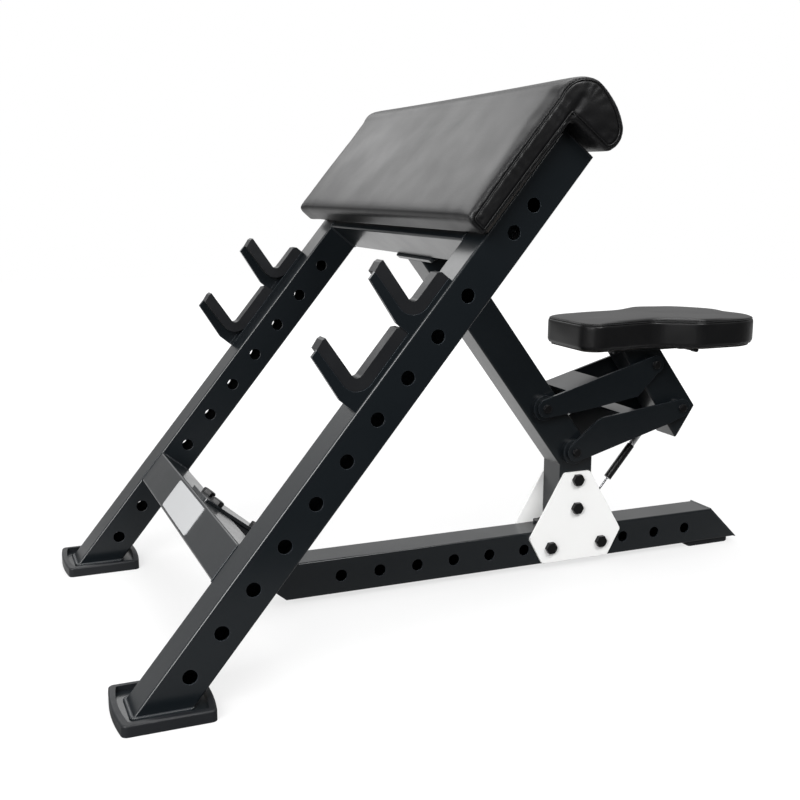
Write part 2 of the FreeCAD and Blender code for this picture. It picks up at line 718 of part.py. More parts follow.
# Seat stem: a length of the same tube, level at the top and cut away below
stem_outline = [
    on_stem(seat_stem_cut_left, -POST_HALF),
    on_stem(seat_stem_cut_right, POST_HALF),
    meet(on_stem(0, POST_HALF), UP_POST, (0, seat_stem_top), LEVEL),
    meet(on_stem(0, -POST_HALF), UP_POST, (0, seat_stem_top), LEVEL),
]
stem_bore = [
    on_stem(seat_stem_cut_left - tube, -inner),
    on_stem(seat_stem_cut_right - tube, inner),
    meet(on_stem(0, inner), UP_POST, (0, seat_stem_top + 1), LEVEL),
    meet(on_stem(0, -inner), UP_POST, (0, seat_stem_top + 1), LEVEL),
]
stem = bent_tube(stem_outline, [vec(UP_POST[0], 0, UP_POST[1])])
stem = stem.cut(prism(stem_bore, -inner_side, inner_side))
for x, z in (stem_low, stem_high):
    stem = stem.cut(cylinder(pivot_radius, vec(x, -tube, z), vec(x, tube, z)))
parts["seat_stem"] = stem

# Gas spring between the post's upright part and the stem
gas_low = (post_place + POST_HALF + gas_lug_reach, gas_lug_height)
gas_high = on_stem(gas_top_along, -POST_HALF - gas_top_setback)
gas_run = vec(gas_high[0] - gas_low[0], 0, gas_high[1] - gas_low[1])
gas_axis = vec(gas_run.x, 0, gas_run.z).normalize()
gas_start = vec(gas_low[0], 0, gas_low[1])
gas_end = vec(gas_high[0], 0, gas_high[1])
eye_half = gas_eye_width / 2
eye_radius = gas_eye_diameter / 2
pin_radius = gas_pin_diameter / 2
ear_inner = eye_half + arm_gap
ear_outer = ear_inner + gas_ear_thickness


def across(point, radius, half):
    """Disc across Y, centred on a point of the middle plane."""
    return cylinder(radius, vec(point.x, -half, point.z), vec(point.x, half, point.z))


def ears(pin, first, second):
    """Two ears beside the eye of the gas spring, from a welded edge to a round end about the pin."""
    middle = ((first[0] + second[0]) / 2, (first[1] + second[1]) / 2)
    run = vec(pin.x - middle[0], 0, pin.z - middle[1]).normalize() * gas_ear_radius
    outline = [first, (pin.x + run.z, pin.z - run.x), (pin.x - run.z, pin.z + run.x), second]
    ear = prism(outline, ear_inner, ear_outer)
    ear = ear.fuse(cylinder(gas_ear_radius, vec(pin.x, ear_inner, pin.z), vec(pin.x, ear_outer, pin.z)))
    ear = ear.removeSplitter().cut(across(pin, pin_radius, tube))
    return [ear, ear.mirror(vec(0, 0, 0), vec(0, 1, 0))]


lug_x = post_place + POST_HALF
lug_low = (lug_x, gas_low[1] - gas_ear_root)
lug_high = (lug_x, gas_low[1] + gas_ear_root)
lug_front = lug_x + gas_lug_plate
lug_bottom = gas_low[1] - gas_lug_half
lug_plate = box(lug_x, lug_front, -ear_outer, ear_outer, lug_bottom, lug_bottom + 2 * gas_lug_half)
parts["gas_lug"] = fuse(ears(gas_start, lug_low, lug_high) + [lug_plate])
parts["gas_lower_pin"] = across(gas_start, pin_radius, ear_outer + gas_collar)
clevis_high = on_stem(gas_top_along + gas_ear_root, -POST_HALF)
clevis_low = on_stem(gas_top_along - gas_ear_root, -POST_HALF)
parts["gas_clevis"] = Part.makeCompound(ears(gas_end, clevis_high, clevis_low))
parts["gas_upper_pin"] = across(gas_end, pin_radius, ear_outer + gas_collar)

tube_top = gas_end - gas_axis * gas_head_length
tube_low = tube_top - gas_axis * gas_tube_length
gas_tube_radius = gas_tube_diameter / 2
gas_bore = gas_tube_radius - gas_tube_wall
gas_rod_radius = gas_rod_diameter / 2
gas_tube = cylinder(gas_tube_radius, tube_low, tube_top)
guide_end = tube_low + gas_axis * gas_guide
gas_tube = gas_tube.cut(cylinder(gas_bore, guide_end, tube_top + gas_axis))
gas_tube = gas_tube.cut(cylinder(gas_rod_radius + pivot_fit, tube_low - gas_axis, tube_top))
parts["gas_cylinder"] = gas_tube
eye_edge = eye_radius - gas_collar
head_plug = cylinder(gas_bore, tube_top - gas_axis * gas_piston, tube_top)
head_neck = cylinder(gas_neck_diameter / 2, tube_top, gas_end - gas_axis * eye_edge)
gas_head = fuse([head_plug, head_neck, across(gas_end, eye_radius, eye_half)])
parts["gas_head"] = gas_head.cut(across(gas_end, pin_radius + gas_open_clearance, tube))

rod_end = guide_end + gas_axis * gas_rod_inside
gas_rod = cylinder(gas_rod_radius, gas_start + gas_axis * eye_edge, rod_end)
piston = cylinder(gas_bore - arm_gap, rod_end - gas_axis * gas_piston, rod_end)
lower_eye = across(gas_start, eye_radius, eye_half)
collar_end = gas_start + gas_axis * (eye_radius + 2 * gas_collar)
collar = cylinder(gas_rod_radius + gas_collar, gas_start, collar_end)
gas_rod = fuse([gas_rod, piston, collar, lower_eye])
parts["gas_rod"] = gas_rod.cut(across(gas_start, pin_radius + pivot_fit, tube))

# Seat: plate on the stem, board, padded top and the release lever below
plate_bottom = seat_stem_top
plate_top = plate_bottom + seat_plate_thickness
half_width = seat_plate_width / 2
plate_front = stem_outline[3][0] - seat_plate_front_reach
plate_rear = stem_outline[2][0] + seat_plate_rear_reach
seat_plate = box(plate_front, plate_rear, -half_width, half_width, plate_bottom, plate_top)
seat_plate = round_along(seat_plate, vec(0, 0, 1), seat_plate_corner)

# Cushion's plan: nose, waist and wings, each corner with its own radius
seat_corners = [
    (seat_front, seat_nose_half, seat_nose_corner),
    (seat_waist_place, seat_waist_half, seat_waist_round),
    (seat_wing_place, seat_wing_half, seat_wing_round),
    (seat_rear, seat_wing_half, seat_rear_corner),
]
seat_plan = [vec(x, y, plate_top) for x, y, radius in seat_corners]
seat_plan += [vec(x, -y, plate_top) for x, y, radius in reversed(seat_corners)]
seat_block = Part.Face(Part.makePolygon(seat_plan + seat_plan[:1])).extrude(vec(0, 0, seat_height))
for place, half, radius in seat_corners:
    uprights = []
    for edge in seat_block.Edges:
        low = edge.Vertexes[0]
        high = edge.Vertexes[-1]
        if abs(low.X - place) + abs(high.X - place) + abs(abs(low.Y) - half) + abs(low.Y - high.Y) < 1e-3:
            uprights.append(edge)
    seat_block = seat_block.makeFillet(radius, uprights)
seat_base = [face for face in seat_block.Faces if face.BoundBox.ZMax < plate_top + 1e-6][0]


def seat_slab(inset, z0, z1):
    """Slab with the cushion's plan, drawn in by a distance."""
    return seat_base.makeOffset2D(-inset).extrude(vec(0, 0, z1 - z0)).translated(vec(0, 0, z0 - plate_top))


board_top = plate_top + seat_board_thickness
seat_top = plate_top + seat_height
seat_board = seat_slab(seat_board_inset, plate_top, board_top)
half_seat = (seat_rear - seat_front) / 2
crown_radius = (half_seat ** 2 + seat_crown ** 2) / (2 * seat_crown)
crown_centre = vec((seat_front + seat_rear) / 2, 0, seat_top - crown_radius)
crown = Part.makeSphere(crown_radius, crown_centre, vec(0, 1, 0))
crown.rotate(crown_centre, vec(0, 1, 0), 90)
seat_pad = seat_block.common(crown)
rim = [edge for edge in seat_pad.Edges if edge.BoundBox.ZMin > seat_top - 2 * seat_crown]
seat_pad = seat_pad.makeFillet(seat_edge_radius, rim)
lower_rim = [edge for edge in seat_pad.Edges if edge.BoundBox.ZMax < plate_top + 1e-6]
seat_pad = seat_pad.makeFillet(seat_lower_edge, lower_rim)
seam_top = seat_top - seat_crown - seat_edge_radius
seam_core = seat_slab(seam_depth, plate_top, seat_top)
seam = seat_slab(-seam_depth, seam_top - seam_width, seam_top).cut(seam_core)
seat_pad = seat_pad.cut(seam).cut(seat_board)

bolt_places = []
for x in (plate_front + seat_bolt_margin, plate_rear - seat_bolt_margin):
    for y in (-half_width + seat_bolt_margin, half_width - seat_bolt_margin):
        bolt_places.append((x, y))
seat_bolts = []
for x, y in bolt_places:
    start = vec(x, y, plate_bottom)
    end = vec(x, y, board_top - bolt_tip)
    shank = cylinder(small_bolt_diameter / 2, start - vec(0, 0, 1), end)
    seat_plate = seat_plate.cut(shank)
    seat_board = seat_board.cut(shank)
    seat_bolts.append(fuse([shank, hexagon(small_bolt_flats, start, vec(0, 0, -1), small_bolt_head)]))
parts["seat_bolts"] = Part.makeCompound(seat_bolts)

lever_top = plate_bottom - arm_gap
lever_bottom = lever_top - lever_thickness
lever_end = lever_pivot_y - lever_length
lever_place = plate_rear - lever_rear_inset
lever_axis = vec(lever_place, lever_pivot_y, 0)
lever_half = lever_width / 2
hub_low = lever_axis + vec(0, 0, lever_bottom)
lever_hub = cylinder(lever_hub_radius, hub_low, lever_axis + vec(0, 0, lever_top))
knob_start = lever_end + lever_knob_length
tang_end = knob_start - lever_tang_length
bar_left = lever_place - lever_half
bar_right = lever_place + lever_half
lever_bar = box(bar_left, bar_right, knob_start, lever_pivot_y, lever_bottom, lever_top)
tang_left = lever_place - lever_tang_half
tang_right = lever_place + lever_tang_half
tang = box(tang_left, tang_right, tang_end, knob_start, lever_bottom, lever_top)
knob_height = (lever_bottom + lever_top) / 2
knob_radius = lever_knob_diameter / 2
knob_tip = vec(lever_place, lever_end, knob_height)
knob = cylinder(knob_radius, knob_tip, vec(lever_place, knob_start, knob_height))
knob_rim = [edge for edge in knob.Edges if edge.BoundBox.YMax < lever_end + 1e-6]
parts["lever_knob"] = knob.makeFillet(lever_knob_edge, knob_rim).cut(tang)
pin_low = lever_axis + vec(0, 0, lever_bottom - arm_gap)
pin_high = lever_axis + vec(0, 0, plate_top - 1)
lever_hole = cylinder(lever_pin_radius + pivot_fit, pin_low, pin_high)
parts["release_lever"] = fuse([lever_hub, lever_bar, tang]).cut(lever_hole)
pin_shank = cylinder(lever_pin_radius, pin_low, pin_high)
pin_head = hexagon(small_bolt_flats, pin_low, vec(0, 0, -1), lever_pin_head)
parts["lever_pin"] = fuse([pin_shank, pin_head])
parts["seat_plate"] = seat_plate.cut(pin_shank)
parts["seat_board"] = seat_board
parts["seat_pad"] = seat_pad

# Arm pad: cushion on a board across the legs that rolls over their upper ends
pad_half = pad_width / 2
pad_bottom = HALF + pad_board_thickness
pad_low_face = pad_bottom + pad_thickness
pad_face = pad_low_face + pad_rise
roll_inner = leg_top + leg_cap_thickness + pad_end_gap
roll_points = [(roll_inner + s, pad_face + n) for s, n in pad_roll]
corner_end = pad_lower_end + pad_lower_corner
corner_low = pad_low_face - pad_lower_corner
corner_drop = pad_lower_corner * (1 - math.cos(math.radians(45)))
pad_outline = [
    (pad_lower_end, pad_bottom),
    (pad_lower_end, corner_low),
    (pad_lower_end + corner_drop, pad_low_face - corner_drop),
    (corner_end, pad_low_face),
    ((corner_end + roll_points[0][0]) / 2, (pad_low_face + pad_face) / 2 + pad_crown),
] + roll_points + [(roll_inner, pad_bottom)]


def inset_outline(points, inset):
    """Closed outline, clockwise, with every point moved inwards along its bisector."""
    moved = []
    for before, here, after in zip(points[-1:] + points[:-1], points, points[1:] + points[:1]):
        first = vec(here[0] - before[0], here[1] - before[1], 0).normalize()
        second = vec(after[0] - here[0], after[1] - here[1], 0).normalize()
        run = (first + second).normalize()
        reach = inset / run.dot(first)
        moved.append((here[0] + run.y * reach, here[1] - run.x * reach))
    return moved


def pad_section(inset, y):
    """Wire of the arm pad's profile at one place across, from lines and arcs."""
    p = [vec(s, y, n) for s, n in inset_outline(pad_outline, inset)]
    edges = [Part.makeLine(p[0], p[1])]
    for i in range(1, 11, 2):
        edges.append(Part.Arc(p[i], p[i + 1], p[i + 2]).toShape())
    edges.append(Part.makeLine(p[11], p[12]))
    edges.append(Part.makeLine(p[12], p[0]))
    return Part.Wire(edges)


pad_sections = []
for turn in (0, 30, 60, 90):
    drawn_in = pad_edge_radius * (1 - math.sin(math.radians(turn)))
    from_end = pad_edge_radius * (1 - math.cos(math.radians(turn)))
    pad_sections.append((drawn_in, from_end))
pad_wires = [pad_section(drawn_in, from_end - pad_half) for drawn_in, from_end in pad_sections]
pad_wires += [pad_section(drawn_in, pad_half - from_end) for drawn_in, from_end in reversed(pad_sections)]
arm_pad = Part.makeLoft(pad_wires, True, True)
groove_face = Part.Face(pad_section(-seam_depth, 0)).cut(Part.Face(pad_section(seam_depth, 0)))
groove = groove_face.extrude(vec(0, seam_width, 0))
for shift in (pad_seam_inset - pad_half, pad_half - pad_seam_inset - seam_width):
    arm_pad = arm_pad.cut(groove.translated(vec(0, shift, 0)))

board_low = pad_lower_end + pad_board_inset
board_high = roll_inner - pad_board_inset
pad_board = box(board_low, board_high, -LEG_OUTER, LEG_OUTER, HALF, pad_bottom)
pad_bolts = []
for y in (-pad_bolt_offset, pad_bolt_offset):
    start = vec(upper_beam_place, y, -HALF)
    end = vec(upper_beam_place, y, pad_bottom - bolt_tip)
    shank = cylinder(small_bolt_diameter / 2, start - vec(0, 0, 1), end)
    upper_beam = upper_beam.cut(shank)
    pad_board = pad_board.cut(shank)
    pad_bolts.append(fuse([shank, hexagon(small_bolt_flats, start, vec(0, 0, -1), small_bolt_head)]))
parts["arm_pad"] = along_leg(arm_pad)
parts["arm_pad_board"] = along_leg(pad_board)
parts["arm_pad_bolts"] = along_leg(Part.makeCompound(pad_bolts))
parts["upper_crossbeam"] = along_leg(upper_beam)

# Double bar hooks on the front faces of the legs, with wear liners
def leg_profile(base, steps):
    """Face along the leg and out of its front: a step is a line's end or an arc's middle and end."""
    here = vec(base + steps[-1][-2], 0, HALF + steps[-1][-1])
    edges = []
    for step in steps:
        there = vec(base + step[-2], 0, HALF + step[-1])
        if len(step) == 2:
            edges.append(Part.makeLine(here, there))
        else:
            middle = vec(base + step[0], 0, HALF + step[1])
            edges.append(Part.Arc(here, middle, there).toShape())
        here = there
    return Part.Face(Part.Wire(edges))


hook_steps = [
    (0.0, 0.0),
    (0.0, hook_heel),
    (hook_lean, hook_reach),
    (hook_lean + hook_tip_width, hook_reach),
    hook_bend_start,
    hook_bend_middle + (hook_bend_end, hook_strip),
    (hook_bend_end, 0.0),
]
hook_side = hook_inset - LEG_OUTER
hook_top = pad_lower_end - hook_to_pad
hook_base = hook_top - hook_strip_length
hook_pieces = [box(hook_base, hook_top, hook_side, hook_side + hook_width, HALF, HALF + hook_strip)]
hook_liners = []
for base, end in ((hook_base, hook_step), (hook_base + hook_step, hook_strip_length - hook_step)):
    steel_face = leg_profile(base, hook_steps)
    hook_pieces.append(steel_face.extrude(vec(0, hook_plate, 0)).translated(vec(0, hook_side, 0)))
    liner_face = leg_profile(base, [
        (hook_bend_end, hook_strip),
        hook_bend_middle + hook_bend_start,
        (hook_lean + hook_tip_width, hook_reach),
        (liner_tip - liner_chamfer, hook_reach + liner_over),
        (liner_tip, hook_reach),
        liner_bend_start,
        liner_bend_middle + (liner_bend_end, liner_lift),
        (end - liner_chamfer, liner_lift),
        (end, liner_lift - liner_chamfer),
        (end, hook_strip),
    ])
    liner = liner_face.extrude(vec(0, liner_width, 0))
    hook_liners.append(liner.translated(vec(0, hook_side + liner_setback, 0)))
hook = along_leg(fuse(hook_pieces))
hook_liner = along_leg(Part.makeCompound(hook_liners))
parts["left_hook"] = hook
parts["left_hook_liner"] = hook_liner
parts["right_hook"] = hook.mirror(vec(0, 0, 0), vec(0, 1, 0))
parts["right_hook_liner"] = hook_liner.mirror(vec(0, 0, 0), vec(0, 1, 0))

os.makedirs("parts", exist_ok=True)
for node, shape in parts.items():
    shape.exportStep("parts/" + node + ".step")
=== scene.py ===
"""Looks of the preacher curl bench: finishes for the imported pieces, stitched cushions and fasteners.

Metres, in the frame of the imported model: X along the bench towards the seat, Z up, floor at Z = 0.
"""
import bpy
import bmesh
import json
import math
from mathutils import Matrix, Vector
from mathutils.bvhtree import BVHTree
from mathutils.kdtree import KDTree


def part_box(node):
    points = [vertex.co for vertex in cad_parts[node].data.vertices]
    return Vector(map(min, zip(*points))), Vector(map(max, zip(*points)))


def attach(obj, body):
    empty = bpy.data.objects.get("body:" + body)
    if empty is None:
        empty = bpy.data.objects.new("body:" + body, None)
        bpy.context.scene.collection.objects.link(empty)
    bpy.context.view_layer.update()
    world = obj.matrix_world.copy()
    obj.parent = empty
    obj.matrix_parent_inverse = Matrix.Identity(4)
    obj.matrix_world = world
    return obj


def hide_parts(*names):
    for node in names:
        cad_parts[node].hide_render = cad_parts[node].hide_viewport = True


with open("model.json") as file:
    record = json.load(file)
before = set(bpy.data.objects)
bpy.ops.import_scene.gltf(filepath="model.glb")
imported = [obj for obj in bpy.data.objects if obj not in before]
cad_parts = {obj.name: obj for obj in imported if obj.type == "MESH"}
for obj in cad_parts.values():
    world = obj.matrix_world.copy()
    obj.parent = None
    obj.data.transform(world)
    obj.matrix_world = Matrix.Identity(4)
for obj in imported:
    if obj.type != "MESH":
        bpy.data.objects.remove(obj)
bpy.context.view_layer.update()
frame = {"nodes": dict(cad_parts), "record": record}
nodes = frame["nodes"]
bodies = frame["record"]["behaviour"]["bodies"]
body_of = {node: body for body, members in bodies.items() for node in members}
slot_of = {entry["node"]: entry["material_slot"] for entry in frame["record"]["subparts"]}

MM = 0.001
leg_angle = math.radians(50.7)
ALONG_LEG = Vector((math.cos(leg_angle), 0, math.sin(leg_angle)))
OUT_OF_LEG = Vector((-math.sin(leg_angle), 0, math.cos(leg_angle)))
ACROSS = Vector((0, 1, 0))
UP = Vector((0, 0, 1))

# Camera, as the photograph was taken
camera_place = (-0.9366, -2.0485, 0.8268)
camera_yaw = math.radians(-22.27)
camera_pitch = math.radians(-10.972)
camera_lens = 49.32
sensor_width = 36.0

# Cushions, blown up as cloth
merge_gap = 0.02 * MM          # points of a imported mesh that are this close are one
voxel = 5 * MM
cloth_frames = 20
cloth_pressure = 4.0
start_shrink = 2.0 * MM        # the cloth starts smaller and swells back
pad_swell = 4.5 * MM           # how far a point of the arm cushion may move
seat_swell = 3.0 * MM          # and a point of the seat cushion
evening_passes = 10            # how far the swelling is spread, in steps of a voxel
cap_gap = 4 * MM               # room between the arm cushion's roll and the legs' caps
board_reach = 5 * MM           # the cushion lies on its board as far as this past the caps
roll_drop = 2 * MM             # and counts as the roll from this far below the board's face

# Seams
seam_step = 2 * MM             # spacing of the points along a seam
seam_reach = 5.0 * MM          # half width of the groove along a seam
seam_depth = 1.7 * MM
seat_seam_drop = 12 * MM       # seam of the seat below its top
welt_radius = 1.1 * MM         # folded edge that stands up along a seam
stitch_pitch = 6 * MM
stitch_length = 4 * MM
stitch_radius = 0.5 * MM
stitch_offset = 3.5 * MM       # from the seam

# Folds of the covers
gather_reach = 11 * MM         # small folds from the end seams into the arm cushion's end panels
gather_depth = 2.0 * MM
gather_pitch = 23 * MM
fold_points = 22               # long fold of an end panel, from the board's corner into the roll
fold_rise = 0.12               # its slope away from the leg
fold_lift = 4 * MM             # its start above the board
fold_reach = 13 * MM
fold_depth = 2.6 * MM
hem_rise = 7 * MM              # lower fold of the seat's cover above its underside
hem_reach = 4 * MM
hem_depth = 1.2 * MM

# Fasteners: width over flats, height, shank and washer diameter
LARGE = (24 * MM, 10 * MM, 16 * MM, 0.0)
PIVOT = (16 * MM, 6 * MM, 12 * MM, 18 * MM)
SMALL = (13 * MM, 5.5 * MM, 8 * MM, 0.0)
head_face = 0.455              # radius of a head's round face, in widths over flats
head_chamfer = math.radians(30)
washer_thickness = 1 * MM
washer_edge = 0.3 * MM
bolt_tip = 3 * MM              # thread past a nut
tip_root = 1 * MM              # and inside it
tip_edge = 1.2 * MM
shank_play = 0.2 * MM          # shank under its nominal radius
shank_edge = 0.5 * MM
end_slack = 0.05 * MM          # points this close to a bolt's end are on its end face

# Weld beads: radius and pitch of the ripples
FOOT_BEAD = (4.5 * MM, 3.4 * MM)
FRAME_BEAD = (2.4 * MM, 2.6 * MM)
ripple_overlap = 2.6           # length of a ripple, in pitches
weld_inset = 0.5 * MM          # path of a bead, from the joint towards the tube


def colour(code):
    """Linear RGBA from an sRGB hex code."""
    channels = []
    for start in (1, 3, 5):
        value = int(code[start:start + 2], 16) / 255
        channels.append(value / 12.92 if value <= 0.04045 else ((value + 0.055) / 1.055) ** 2.4)
    return (*channels, 1.0)


def per_mm(size):
    """Texture scale on Object coordinates for a pattern of that size in millimetres."""
    return 1000 / size


def add_node(tree, kind, sockets=None, **settings):
    """Adds one node: settings are its properties, sockets its inputs, as values or other outputs."""
    node = tree.nodes.new("ShaderNode" + kind)
    for name, value in settings.items():
        setattr(node, name, value)
    for name, value in (sockets or {}).items():
        if isinstance(value, bpy.types.NodeSocket):
            tree.links.new(value, node.inputs[name])
        else:
            node.inputs[name].default_value = value
    return node


def new_material(name):
    """Empty node material: returns it, its tree and the Object coordinates of its piece."""
    material = bpy.data.materials.new(name)
    material.use_nodes = True
    tree = material.node_tree
    tree.nodes.clear()
    return material, tree, add_node(tree, "TexCoord").outputs["Object"]


def end_material(tree, sockets):
    """Ends a material with its shader, whose sockets are values or other nodes' outputs."""
    shader = add_node(tree, "BsdfPrincipled", sockets)
    add_node(tree, "OutputMaterial", {"Surface": shader.outputs["BSDF"]})


def uneven_gloss(tree, place, size, detail, rough):
    """Roughness that drifts between two values in clouds of a size in millimetres."""
    cloud = add_node(tree, "TexNoise", {"Vector": place, "Scale": per_mm(size), "Detail": detail})
    # most of a noise lies from 0.3 to 0.7
    drift = add_node(tree, "MapRange", {"Value": cloud.outputs["Fac"], "From Min": 0.3, "From Max": 0.7,
                                        "To Min": rough[0], "To Max": rough[1]})
    return drift.outputs["Result"]


def edge_mask(tree, rounded):
    """1 on a piece's sharp edges, where the rounded normal leaves the flat one, and 0 on its faces."""
    flat = add_node(tree, "NewGeometry").outputs["Normal"]
    same = add_node(tree, "VectorMath", {0: rounded, 1: flat}, operation="DOT_PRODUCT")
    mask = add_node(tree, "MapRange", {"Value": same.outputs["Value"], "From Min": 0.995, "From Max": 0.8,
                                       "To Min": 0.0, "To Max": 1.0})
    return mask.outputs["Result"]


def powder_coat(name, face, edge, rough, specular, film):
    """Baked paint on steel: a fine orange peel, a share of glossy film and an own colour on sharp edges,
    which stands for thinner paint and, where paler than the face, partly for a painted highlight.
    """
    material, tree, place = new_material(name)
    # orange peel of about 1 mm, drawn at 2.4 mm so that it shows
    peel = add_node(tree, "TexNoise", {"Vector": place, "Scale": per_mm(2.4), "Detail": 2.0})
    rounded = add_node(tree, "Bevel", {"Radius": 1.2 * MM}, samples=6).outputs["Normal"]
    bump = add_node(tree, "Bump", {"Strength": 0.12, "Distance": 0.25 * MM,
                                   "Height": peel.outputs["Fac"], "Normal": rounded})
    # edge colour: thinner paint on sharp edges, and where paler than the face, partly a painted highlight
    edge_wear_and_highlight = add_node(tree, "Mix", {0: edge_mask(tree, rounded), 6: colour(face), 7: colour(edge)},
                    data_type="RGBA")
    end_material(tree, {
        "Base Color": edge_wear_and_highlight.outputs[2],
        "Roughness": uneven_gloss(tree, place, 90, 3.0, rough),
        "Normal": bump.outputs["Normal"],
        "Specular IOR Level": specular,
        "Coat Weight": film,
        "Coat Roughness": 0.2,
    })
    return material


def grained_vinyl(name, face):
    """Embossed PVC leathercloth: pebbled grain, soft sheen, slight change of gloss from handling."""
    material, tree, place = new_material(name)
    # pebbles of about 0.8 mm, drawn at 2 mm so that they show
    pebble = add_node(tree, "TexVoronoi", {"Vector": place, "Scale": per_mm(2.0)}, feature="SMOOTH_F1")
    crease = add_node(tree, "TexNoise", {"Vector": place, "Scale": per_mm(5), "Detail": 4.0})
    height = add_node(tree, "Math", {0: pebble.outputs["Distance"], 1: crease.outputs["Fac"]},
                      operation="ADD")
    bump = add_node(tree, "Bump", {"Strength": 0.18, "Distance": 0.4 * MM,
                                   "Height": height.outputs["Value"]})
    end_material(tree, {
        "Base Color": colour(face),
        "Roughness": uneven_gloss(tree, place, 120, 3.0, (0.36, 0.44)),
        "Normal": bump.outputs["Normal"],
        "Specular IOR Level": 0.32,
    })
    return material


def moulded(name, face, grain_size, grain_strength, rough, specular):
    """Moulded rubber, nylon or spun thread: an even fine grain and a slightly uneven gloss."""
    material, tree, place = new_material(name)
    # a grain of 0.1 to 0.3 mm, drawn several times coarser so that it shows
    grain = add_node(tree, "TexNoise", {"Vector": place, "Scale": per_mm(grain_size), "Detail": 3.0})
    rounded = add_node(tree, "Bevel", {"Radius": 1.0 * MM}, samples=6).outputs["Normal"]
    bump = add_node(tree, "Bump", {"Strength": grain_strength, "Distance": 0.3 * MM,
                                   "Height": grain.outputs["Fac"], "Normal": rounded})
    end_material(tree, {
        "Base Color": colour(face),
        "Roughness": uneven_gloss(tree, place, 45, 2.0, rough),
        "Normal": bump.outputs["Normal"],
        "Specular IOR Level": specular,
    })
    return material


def bare_metal(name, face, rough):
    """Turned or polished metal: fine tool marks that break up its reflections a little."""
    material, tree, place = new_material(name)
    # tool marks of about 0.2 mm, drawn at 1.6 mm so that they show
    mark_size, mark_detail = 1.6, 4.0
    marks = add_node(tree, "TexNoise", {"Vector": place, "Scale": per_mm(mark_size),
                                        "Detail": mark_detail})
    rounded = add_node(tree, "Bevel", {"Radius": 0.8 * MM}, samples=6).outputs["Normal"]
    bump = add_node(tree, "Bump", {"Strength": 0.08, "Distance": 0.15 * MM,
                                   "Height": marks.outputs["Fac"], "Normal": rounded})
    end_material(tree, {
        "Base Color": colour(face),
        "Metallic": 1.0,
        "Roughness": uneven_gloss(tree, place, mark_size, mark_detail, rough),
        "Normal": bump.outputs["Normal"],
    })
    return material


def sealed_plywood(name, face, vein):
    """Plywood sealed with dark stain: long growth rings along Y."""
    material, tree, place = new_material(name)
    stretched = add_node(tree, "Mapping", {"Vector": place, "Scale": (1.0, 0.06, 1.0)})
    rings = add_node(tree, "TexNoise", {"Vector": stretched.outputs["Vector"], "Scale": per_mm(7),
                                        "Detail": 5.0})
    ramp = add_node(tree, "ValToRGB", {"Fac": rings.outputs["Fac"]})
    for stop, position, shade in zip(ramp.color_ramp.elements, (0.35, 0.7), (face, vein)):
        stop.position = position
        stop.color = colour(shade)
    bump = add_node(tree, "Bump", {"Strength": 0.2, "Distance": 0.3 * MM, "Height": rings.outputs["Fac"]})
    end_material(tree, {
        "Base Color": ramp.outputs["Color"],
        "Roughness": 0.6,
        "Normal": bump.outputs["Normal"],
    })
    return material


finishes = {
    # frame: almost black with a cold cast, a dull sheen on its faces and paler edges, partly worn paint
    # and partly a painted highlight
    "powder_black": powder_coat("satin_black_powder_coat", face="#0f1316", edge="#353a40",
                                rough=(0.30, 0.38), specular=0.14, film=0.6),
    # gussets: a clean even white that hardly mirrors
    "gusset_white": powder_coat("satin_white_powder_coat", face="#f1f1f0", edge="#d9d9d8",
                                rough=(0.36, 0.46), specular=0.4, film=0.0),
    # bolts, nuts and washers: black with small glints on the chamfers, from the lamps and from a paler
    # edge colour that is a painted highlight
    "bolt_black": powder_coat("black_oxide_steel", face="#0a0a0b", edge="#232427",
                              rough=(0.26, 0.36), specular=0.24, film=0.0),
    # gas spring's tube: black with one narrow streak of light along it
    "gas_tube_black": powder_coat("painted_gas_tube", face="#0d0d0d", edge="#1c1c1d",
                                  rough=(0.24, 0.30), specular=0.4, film=0.0),
    # feet and tail pad: matt black, greyer where it faces the light
    "rubber_black": moulded("moulded_black_rubber", "#101215", grain_size=1.6, grain_strength=0.25,
                            rough=(0.42, 0.54), specular=0.3),
    # caps, liners and knob: black with a low even sheen
    "plastic_dark": moulded("moulded_black_nylon", "#151618", grain_size=1.2, grain_strength=0.2,
                            rough=(0.36, 0.46), specular=0.3),
    # cushions: black with broad soft highlights and a leathery grain
    "vinyl_black": grained_vinyl("black_leathercloth", "#0b0b0c"),
    # sign plate: a flat mid grey with a soft metallic look
    "sign_silver": powder_coat("satin_silver_lacquer", face="#9fa0a1", edge="#8b8c8e",
                               rough=(0.40, 0.50), specular=0.4, film=0.0),
    # gas spring's rod: a bright mirror line
    "rod_chrome": bare_metal("polished_chrome_rod", "#d8d9dc", rough=(0.08, 0.16)),
    # gas spring's ends: pale grey metal with blurred reflections
    "head_silver": bare_metal("turned_aluminium", "#e4e5e6", rough=(0.42, 0.52)),
    # boards under the cushions: dark brown with faint rings
    "plywood": sealed_plywood("stained_plywood", "#1a1613", "#2a241e"),
}
# stitches: black and dull beside the cover's sheen
thread = moulded("bonded_polyester_thread", "#0c0c0d", grain_size=0.8, grain_strength=0.3,
                 rough=(0.55, 0.65), specular=0.15)


def give(piece, material):
    """Makes a material the only one of a piece."""
    piece.data.materials.clear()
    piece.data.materials.append(material)


for node, piece in nodes.items():
    give(piece, finishes[slot_of[node]])


def put(name, data):
    """Adds an object to the scene."""
    item = bpy.data.objects.new(name, data)
    bpy.context.scene.collection.objects.link(item)
    return item


def new_piece(name, bm, material, body, smooth=True):
    """Turns a bmesh into a finished piece that rides on a body."""
    mesh = bpy.data.meshes.new(name)
    bm.to_mesh(mesh)
    bm.free()
    piece = put(name, mesh)
    for polygon in mesh.polygons:
        polygon.use_smooth = smooth
    give(piece, material)
    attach(piece, body)
    return piece


def merged_copy(node):
    """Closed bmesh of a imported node."""
    bm = bmesh.new()
    bm.from_mesh(nodes[node].data)
    bmesh.ops.remove_doubles(bm, verts=bm.verts, dist=merge_gap)
    return bm


